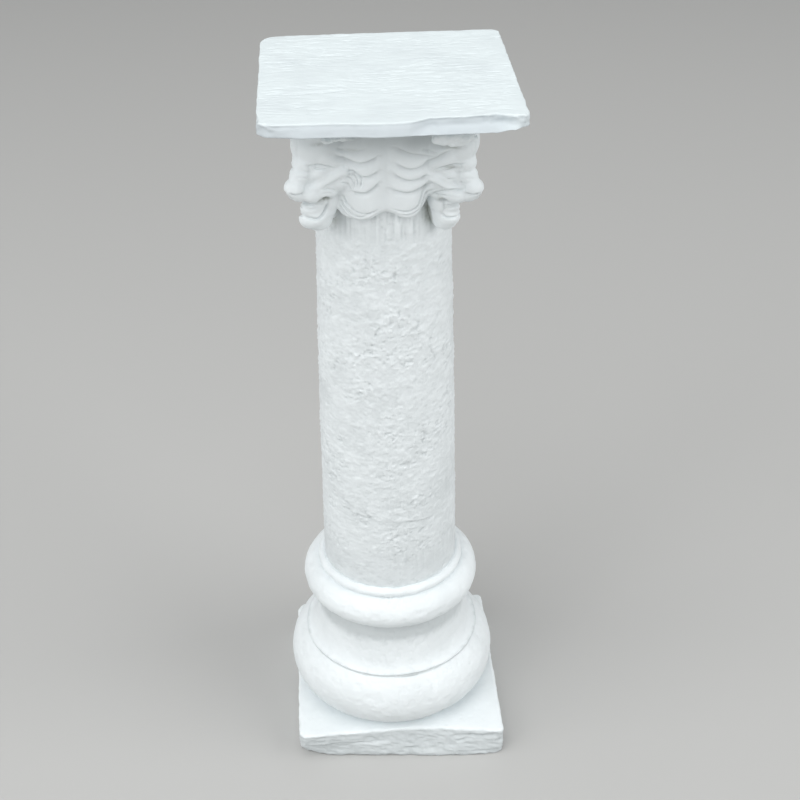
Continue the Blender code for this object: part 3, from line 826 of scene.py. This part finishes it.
# lines of the mane: degrees from the middle of a face, height
maneLeft = {
    "top": (((5, 0.8595), (10.3, 0.8545), (16.5, 0.852), (22.7, 0.8545), (27.0, 0.8582),
        (30.0, 0.865)), 0.0011, 0.0046, 0.003),
    "topFine": (((11.6, 0.87), (19.4, 0.865), (25.5, 0.8655), (29.5, 0.872)),
        0.001, 0.0028, 0.0014),
    "middle": (((5, 0.8415), (11.6, 0.836), (16.4, 0.837), (21.1, 0.843)), 0.001, 0.0042, 0.0026),
    "low": (((5, 0.8275), (9.6, 0.821), (14.5, 0.816), (19.0, 0.8155), (22.9, 0.8165)),
        0.001, 0.0042, 0.0028),
    "curlA": (((26.0, 0.8415), (20.0, 0.8415), (16.3, 0.835), (16.3, 0.827), (17.8, 0.8215)),
        0.001, 0.001, 0.0017),
    "curlB": (((26.5, 0.8385), (21.0, 0.8365), (18.6, 0.83), (18.6, 0.8225)), 0.001, 0.001, 0.0017),
    "curlC": (((27.0, 0.835), (23.2, 0.8325), (21.0, 0.8265), (21.2, 0.82)), 0.001, 0.001, 0.0015),
    "curlD": (((28.5, 0.83), (25.2, 0.8255), (23.4, 0.817)), 0.001, 0.001, 0.0014),
    "strandInner": (((31.0, 0.817), (29.4, 0.807), (26.6, 0.7985), (20.2, 0.7905), (13.4, 0.789),
        (6.0, 0.7935)), 0.0011, 0.0011, 0.0019),
    "strandOuter": (((33.0, 0.81), (31.4, 0.802), (29.0, 0.794), (24.0, 0.786), (18.7, 0.7845),
        (11.9, 0.7885)), 0.0011, 0.0011, 0.0017),
    "behindJaw": (((33.0, 0.798), (31.0, 0.789), (27.0, 0.783)), 0.001, 0.0014, 0.0015),
}
maneRight = {
    "top": (((5, 0.87), (13.7, 0.8625), (20.7, 0.858), (26.5, 0.856), (30.5, 0.859)),
        0.001, 0.0036, 0.0022),
    "topFine": (((21.0, 0.8655), (25.5, 0.8625), (30.0, 0.86)), 0.001, 0.0024, 0.0014),
    "brow": (((5, 0.851), (12.3, 0.844), (18.9, 0.843), (23.5, 0.8465), (27.7, 0.852),
        (31.9, 0.8604), (35.8, 0.8645)), 0.0011, 0.0044, 0.0028),
    "middle": (((4, 0.8375), (10.0, 0.8315), (15.7, 0.829), (21.7, 0.83), (27.1, 0.834)),
        0.001, 0.004, 0.0026),
    "low": (((3, 0.8185), (10.2, 0.8145), (16.9, 0.814), (23.1, 0.818), (28.5, 0.824)),
        0.001, 0.0042, 0.0028),
    "strandA": (((29.0, 0.8225), (25.4, 0.815), (23.8, 0.805), (20.9, 0.795), (13.8, 0.7905),
        (4.0, 0.7925)), 0.0011, 0.0011, 0.0018),
    "strandB": (((33.7, 0.818), (28.6, 0.813), (25.9, 0.803), (23.4, 0.792), (16.4, 0.7862),
        (8.0, 0.787)), 0.0011, 0.0011, 0.0018),
    "strandC": (((37.5, 0.811), (31.0, 0.809), (28.0, 0.803), (26.3, 0.795), (22.5, 0.786)),
        0.001, 0.001, 0.0014),
}


def addOval(bm, place, centre, radii, pitch=0.0):
    shape = Matrix.Translation(centre) @ Matrix.Rotation(pitch, 4, "Y")
    shape = place @ shape @ Matrix.Diagonal((*radii, 1))
    bmesh.ops.create_icosphere(bm, subdivisions=4, radius=1.0, matrix=shape)


def addStrand(bm, points, radii, sides=20):
    rings = []
    last = len(points) - 1
    for index, point in enumerate(points):
        along = (points[min(index + 1, last)] - points[max(index - 1, 0)]).normalized()
        across = along.cross(Vector((0, 0, 1))).normalized()
        over = across.cross(along)
        ring = []
        for side in range(sides):
            angle = 2 * pi * side / sides
            offset = across * cos(angle) + over * sin(angle)
            ring.append(bm.verts.new(point + offset * radii[index]))
        rings.append(ring)
    for lower, upper in zip(rings, rings[1:]):
        for side in range(sides):
            after = (side + 1) % sides
            bm.faces.new((lower[side], lower[after], upper[after], upper[side]))
    for ring, end, beside in ((rings[0], 0, 1), (rings[-1], last, last - 1)):
        outward = (points[end] - points[beside]).normalized()
        tip = bm.verts.new(points[end] + outward * radii[end])
        for side in range(sides):
            bm.faces.new((ring[side], ring[(side + 1) % sides], tip))


def bellRadius(height):
    whole = column["capitalTop"] - column["capitalBottom"]
    share = max((height - column["capitalBottom"]) / whole, 0)
    widening = capitalLook["bellTop"] - capitalLook["bellFoot"]
    return capitalLook["bellFoot"] + widening * share ** 1.4


def onColumn(turn, out, height):
    return Vector((column["axis"][0] + out * cos(turn), column["axis"][1] + out * sin(turn), height))


# the mane hangs over the shaft in a wavy hem: degrees from the middle of a face, left
# ones below zero, and height
maneHem = ((-45, 0.8060), (-40, 0.8020), (-37, 0.7900), (-34, 0.7805), (-30, 0.7775), (-24, 0.7772),
    (-19, 0.7765), (-13, 0.7785), (-7, 0.7840), (0, 0.7866), (6, 0.7840), (11, 0.7790),
    (16, 0.7770), (21, 0.7785), (25, 0.7860), (29, 0.7985), (33, 0.8080), (45, 0.8090))
# how far it stands out from the bell at each height, beside the valley of a face
maneSwell = ((0.783, 0.0070), (0.795, 0.0095), (0.812, 0.0095), (0.835, 0.0105), (0.870, 0.0110),
    (0.902, 0.0090))


def addBell(bm):
    # rings from the hem up; the mane swells between the valleys in the middle of the faces
    around, up = 240, 60
    hem, swell = np.array(maneHem).T, np.array(maneSwell).T
    rings = []
    for level in range(up + 1):
        ring = []
        for k in range(around):
            turn = 2 * pi * k / around
            fromMiddle = (degrees(turn) + 45) % 90 - 45
            foot = float(np.interp(fromMiddle, *hem))
            share = level / up
            height = foot + (column["capitalTop"] + 0.0066 - foot) * share ** 1.3
            proud = float(np.interp(height, *swell) * smoothStep(abs(fromMiddle), -3, 15))
            inShare = min((height - foot) / 0.0085, 1.0)
            out = bellRadius(height) + proud
            inside = column["shaftTopRadius"] - 0.003
            radius = inside + (out - inside) * (1 - (1 - inShare) ** 2) ** 0.5
            ring.append(bm.verts.new(onColumn(turn, radius, height)))
        rings.append(ring)
    for lower, upper in zip(rings, rings[1:]):
        for k in range(around):
            after = (k + 1) % around
            bm.faces.new((lower[k], lower[after], upper[after], upper[k]))
    bm.faces.new(rings[0][::-1])
    bm.faces.new(rings[-1])


def headPlace(turn):
    size = capitalLook["headHeight"]
    eyes = column["capitalTop"] - capitalLook["eyesBelowTop"] * size
    place = Matrix.Translation((*column["axis"], 0)) @ Matrix.Rotation(turn, 4, "Z")
    return place @ Matrix.Translation((column["shaftTopRadius"], 0, eyes))


def headSpot(spot, quarter, inJaw):
    # a place on one head, from the same place on the longest one; foreheads are all alike
    out, up, jawReach = headShifts[quarter]
    if inJaw:
        return Vector((spot[0] * jawReach, spot[1], spot[2] + up))
    outShare, upShare = np.clip([(0.16 - spot[2]) / 0.12, (0.24 - spot[2]) / 0.22], 0, 1)
    return Vector((spot[0] + out * outShare, spot[1], spot[2] + up * upShare))


def addHead(bm, quarter):
    size = capitalLook["headHeight"]
    place = headPlace(pi / 4 + quarter * pi / 2)
    for forms, inJaw in ((headMiddle, False), (jawMiddle, True)):
        for centre, radii, pitch in forms.values():
            spot = headSpot(centre, quarter, inJaw) * size
            addOval(bm, place, spot, Vector(radii) * size, pitch)
    for side in (-1, 1):
        mirror = Vector((1, side, 1)) * size
        for name, (centre, radii, pitch) in headPairs.items():
            spot = headSpot(centre, quarter, name == "jawSide")
            addOval(bm, place, spot * mirror, Vector(radii) * size, pitch)
        for name, (start, end, first, final) in headRidges.items():
            points, radii = [], []
            for share in np.linspace(0, 1, 9):
                spot = headSpot(Vector(start).lerp(Vector(end), share), quarter, name == "jaw")
                points.append(place @ (spot * mirror))
                radii.append((first + (final - first) * share) * size)
            addStrand(bm, points, radii)


# plaster squeezed out under the slab: turn, out, below the top, width, how thick
beddingLumps = (
    (-66.8, 0.1325, 0.0146, 0.0064, 0.8), (-63.8, 0.1355, 0.0161, 0.0072, 0.8),
    (-60.2, 0.1360, 0.0196, 0.0060, 0.8), (-56.6, 0.1365, 0.0211, 0.0062, 0.8),
    (-52.7, 0.1365, 0.0220, 0.0054, 0.8), (-48.9, 0.1375, 0.0222, 0.0050, 0.7),
    (-65.3, 0.1345, 0.0103, 0.0080, 0.7), (-60.7, 0.1375, 0.0122, 0.0090, 0.7),
    (-54.6, 0.1385, 0.0152, 0.0090, 0.7), (-60.0, 0.1220, 0.0130, 0.0130, 0.9),
    (-51.0, 0.1250, 0.0150, 0.0140, 0.9), (-44.5, 0.1240, 0.0170, 0.0120, 0.9),
    (-97, 0.104, 0.008, 0.009, 0.6), (-120.5, 0.1230, 0.0188, 0.0050, 0.7),
    (-117.0, 0.1200, 0.0175, 0.0052, 0.7), (-112.9, 0.1160, 0.0165, 0.0048, 0.7),
    (-109.2, 0.1120, 0.0170, 0.0040, 0.7), (-116.0, 0.1100, 0.0120, 0.0105, 0.8)
)


def addBeddingLumps(bm):
    for turn, out, below, size, thick in beddingLumps:
        angle = radians(turn)
        centre = onColumn(angle, out, column["capitalTop"] - below)
        place = Matrix.Translation(centre) @ Matrix.Rotation(angle, 4, "Z")
        addOval(bm, place, Vector(), Vector((0.7, 1.3, thick)) * size)


def meshAsSeen(made):
    # its mesh with the modifiers worked in
    graph = bpy.context.evaluated_depsgraph_get()
    return bpy.data.meshes.new_from_object(made.evaluated_get(graph))


def joinedForms():
    bm = bmesh.new()
    addBell(bm)
    for quarter in range(4):
        addHead(bm, quarter)
    addBeddingLumps(bm)
    bmesh.ops.recalc_face_normals(bm, faces=bm.faces[:])
    mesh = bpy.data.meshes.new("forms")
    bm.to_mesh(mesh)
    bm.free()
    forms = linked("forms", mesh)
    skin = forms.modifiers.new("skin", "REMESH")
    skin.mode = "VOXEL"
    skin.voxel_size = capitalLook["voxel"]
    soften = forms.modifiers.new("soften", "SMOOTH")
    soften.factor = 0.5
    soften.iterations = capitalLook["smoothing"]
    joined = meshAsSeen(forms)
    bpy.data.objects.remove(forms, do_unlink=True)
    return joined


def curveThrough(points, spacing):
    # a smooth line through the points, with places at even spacing
    knots = np.array(points, float)
    knots = np.vstack([2 * knots[0] - knots[1], knots, 2 * knots[-1] - knots[-2]])
    line = []
    for a, b, c, d in zip(knots, knots[1:], knots[2:], knots[3:]):
        count = max(2, int(np.linalg.norm(c - b) / spacing))
        t = (np.arange(count) / count)[:, None]
        line.append(0.5 * (2 * b + (c - a) * t + (2 * a - 5 * b + 4 * c - d) * t ** 2
                           + (3 * b - a - 3 * c + d) * t ** 3))
    line.append(knots[-2:-1])
    return np.concatenate(line)


def cutDepth(points, facing, line, above, below, depth):
    # deepest on the line, with its own width on the upper and on the lower side
    cut = np.zeros(len(points))
    reach = 3 * max(above, below)
    inBox = ((points > line.min(0) - reach) & (points < line.max(0) + reach)).all(1)
    near = np.nonzero(inBox)[0]
    if not len(near):
        return cut
    gaps = points[near, None, :] - line[None, :, :]
    squared = (gaps ** 2).sum(2)
    best = squared.argmin(1)
    gap = gaps[np.arange(len(near)), best]
    gap -= facing[near] * (gap * facing[near]).sum(1)[:, None]
    width = np.where(gap[:, 2] > 0, above, below)
    apart = np.sqrt(squared[np.arange(len(near)), best])
    share = best / max(len(line) - 1, 1)
    taper = np.clip(np.sin(pi * np.clip(share, 0.04, 0.96)) * 2.2, 0, 1) if len(line) > 8 else 1.0
    held = np.exp(-(np.linalg.norm(gap, axis=1) / width) ** 2) * (apart < reach)
    cut[near] = depth * taper * held
    return cut


def turnedBack(points, turn):
    # the points as they are for a face or head that looks along +X
    axis = np.array([*column["axis"], 0])
    c, s = cos(-turn), sin(-turn)
    return (points - axis) @ np.array([[c, s, 0], [-s, c, 0], [0, 0, 1]])


def headLinesLaid(tree, quarter):
    # lays the lines of a head on its surface, then turns them to a head that looks along +X
    size = capitalLook["headHeight"]
    turn = pi / 4 + quarter * pi / 2
    place = headPlace(turn)
    laid = []
    groups = ((headLines, False), (jawLines, True))
    if quarter == 3:
        groups = ((headLines, False), (snarlLines, False), (snarlJaw, True))
    for lines, inJaw in groups:
        for points, above, below, depth in lines.values():
            spots = np.array([headSpot(point, quarter, inJaw) for point in points]) * size
            line = [tree.find_nearest(place @ Vector(p))[0] for p in curveThrough(spots, 0.0006)]
            laid.append((turnedBack(np.array(line), turn), above, below, depth))
    return laid


def maneLinesLaid(tree):
    # one set for each side of a face that looks along +X
    stretch = np.array([0.0017, 1.0])     # a degree is about 1.7 mm
    laid = []
    for side, lines in ((-1, maneLeft), (1, maneRight)):
        for points, above, below, depth in lines.values():
            line = []
            for turn, height in curveThrough(np.array(points) * stretch, 0.0006) / stretch:
                angle = side * radians(turn)
                start = onColumn(angle, 0.16, height)
                hit = tree.ray_cast(start, onColumn(angle, 0.0, height) - start)[0]
                line.append(hit or tree.find_nearest(onColumn(angle, 0.090, height))[0])
            line = turnedBack(np.array(line), 0.0)
            laid.append((line, above, below, depth))
            if below > 0.003:     # a lock rolls outwards above its own edge
                laid.append((line + (0, 0, 0.0034), 0.0046, 0.0028, -0.3 * depth))
    return laid


def carve(mesh):
    points, facing = pointsOf(mesh), normalsOf(mesh)
    corners = np.zeros(len(mesh.polygons) * 4, np.int32)
    mesh.polygons.foreach_get("vertices", corners)
    tree = BVHTree.FromPolygons(points.tolist(), corners.reshape(-1, 4).tolist())
    strays = [layered(points, 0.022, 101 + k, 2) for k in range(3)]
    strayed = points + capitalLook["wander"] * np.column_stack(strays)
    facingFrom = facing + [*column["axis"], 0]
    cut = np.zeros(len(points))
    maneCuts = maneLinesLaid(tree)
    for quarter in range(4):
        turn = pi / 4 + quarter * pi / 2
        spots, outward = turnedBack(strayed, turn), turnedBack(facingFrom, turn)
        mine = spots[:, 0] > np.abs(spots[:, 1]) * 0.9
        flip = np.sign(spots[mine, 1])[:, None] * (0, 1, 0) + (1, 0, 1)
        for line in headLinesLaid(tree, quarter):
            cut[mine] += cutDepth(spots[mine] * flip, outward[mine] * flip, *line)
        turn = quarter * pi / 2
        spots, outward = turnedBack(strayed, turn), turnedBack(facingFrom, turn)
        mine = spots[:, 0] > np.abs(spots[:, 1]) * 0.8
        for line in maneCuts:
            cut[mine] += cutDepth(spots[mine], outward[mine], *line)
    cut = capitalLook["deepest"] * np.tanh(1.28 * cut / capitalLook["deepest"])
    worn = 0.0004 * layered(points, 0.010, 111) + 0.00012 * layered(points, 0.0026, 112, 2)
    turn, out = aroundAxis(points)
    bedding = hump(turn, -53, 10) + hump(turn, -115.5, 6)
    bedding *= smoothStep(points[:, 2], 0.868, 0.876)
    worn += 0.0030 * bedding * layered(points, 0.0070, 113, 3)
    moved = points - facing * (cut + worn)[:, None]
    mesh.vertices.foreach_set("co", moved.astype(np.float32).ravel())
    mesh.update()
    # painted shade: darker in the carved grooves and in the hollow under the slab
    underSlab = smoothStep(points[:, 2], 0.846, 0.880) * (1 - smoothStep(out, 0.112, 0.122))
    return cut / capitalLook["deepest"] + underSlab


def makeCapital():
    mesh = joinedForms()
    storeShade(mesh, carve(mesh))
    bm = bmesh.new()
    bm.from_mesh(mesh)
    top = Vector((0, 0, column["capitalTop"]))
    whole = bm.verts[:] + bm.edges[:] + bm.faces[:]
    cut = bmesh.ops.bisect_plane(bm, geom=whole, plane_co=top, plane_no=(0, 0, 1), clear_outer=True)
    rim = [edge for edge in cut["geom_cut"] if isinstance(edge, bmesh.types.BMEdge)]
    bmesh.ops.edgeloop_fill(bm, edges=rim)
    bmesh.ops.triangulate(bm, faces=bm.faces[:])
    bm.to_mesh(mesh)
    bm.free()
    mesh.materials.clear()
    mesh.materials.append(castingMaterial)
    made = linked("capital", mesh)
    thin = made.modifiers.new("thin", "DECIMATE")
    thin.ratio = capitalLook["facesKept"]
    made.data = meshAsSeen(made)
    made.modifiers.clear()
    made.data.shade_smooth()
    made.data.set_sharp_from_angle(angle=radians(capitalLook["sharpAngle"]))
    storeShade(made.data, mossAndShadeAt(pointsOf(made.data)), "mossAndShade")
    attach(made, "root")
    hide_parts("column")
    print("capital carved,", len(made.data.polygons), "faces")
    return made


capital = makeCapital()


# Floor, light and camera

studio = {
    "floorColour": (0.50, 0.50, 0.49),
    "skyColour": (0.97, 0.99, 1.0),
    "skyStrength": 0.28,
    # place, size and watts of each soft box
    "boxes": {
        "overhead soft box": ((-0.5, -0.8, 7.5), 6.0, 190.0),
        "front soft box": ((-2.2, -4.4, 5.2), 5.0, 133.0),
        "left soft box": ((-5.2, -2.4, 3.6), 6.0, 170.0),
        "right soft box": ((5.4, -2.4, 3.6), 6.0, 227.0),
    },
}

bm = bmesh.new()
bmesh.ops.create_grid(bm, x_segments=8, y_segments=8, size=40.0)
floorMesh = bpy.data.meshes.new("floor")
bm.to_mesh(floorMesh)
bm.free()
floor = linked("floor", floorMesh)
floorMaterial = bpy.data.materials.new("plain floor")
floorMaterial.use_nodes = True
floorShader = floorMaterial.node_tree.nodes["Principled BSDF"]
floorShader.inputs["Base Color"].default_value = (*studio["floorColour"], 1)
floorShader.inputs["Roughness"].default_value = 0.9
floorMesh.materials.append(floorMaterial)

world = bpy.data.worlds.new("soft studio")
world.use_nodes = True
sky = world.node_tree.nodes["Background"]
sky.inputs["Color"].default_value = (*studio["skyColour"], 1)
sky.inputs["Strength"].default_value = studio["skyStrength"]
bpy.context.scene.world = world

for name, (place, width, watts) in studio["boxes"].items():
    lampData = bpy.data.lights.new(name, "AREA")
    lampData.shape = "DISK"
    lampData.size = width
    lampData.energy = watts
    lamp = linked(name, lampData)
    lamp.location = place
    toColumn = Vector((0, 0, 0.5)) - lamp.location
    lamp.rotation_euler = toColumn.to_track_quat("-Z", "Y").to_euler()

# solved from the photograph's edges and corners; turns are in degrees
cameraLook = {
    "place": (-0.06961, -1.43699, 1.43827),
    "sensor": 36.0,
    "lens": 62.235,
    "yaw": 3.2846,
    "pitch": 33.2433,
    "roll": -0.7957,
}

cameraData = bpy.data.cameras.new("camera")
cameraData.sensor_width = cameraLook["sensor"]
cameraData.lens = cameraLook["lens"]
camera = linked("camera", cameraData)
yaw, pitch, roll = (radians(cameraLook[name]) for name in ("yaw", "pitch", "roll"))
ahead = Vector((sin(yaw) * cos(pitch), cos(yaw) * cos(pitch), -sin(pitch)))
sideways = Vector((cos(yaw), -sin(yaw), 0))
upward = sideways.cross(ahead)
rightHand = cos(roll) * sideways + sin(roll) * upward
overhead = -sin(roll) * sideways + cos(roll) * upward
turnTo = Matrix((rightHand, overhead, -ahead)).transposed().to_4x4()
camera.matrix_world = Matrix.Translation(cameraLook["place"]) @ turnTo
bpy.context.scene.camera = camera
bpy.context.scene.view_settings.view_transform = "Standard"

print("floor, light and camera set")
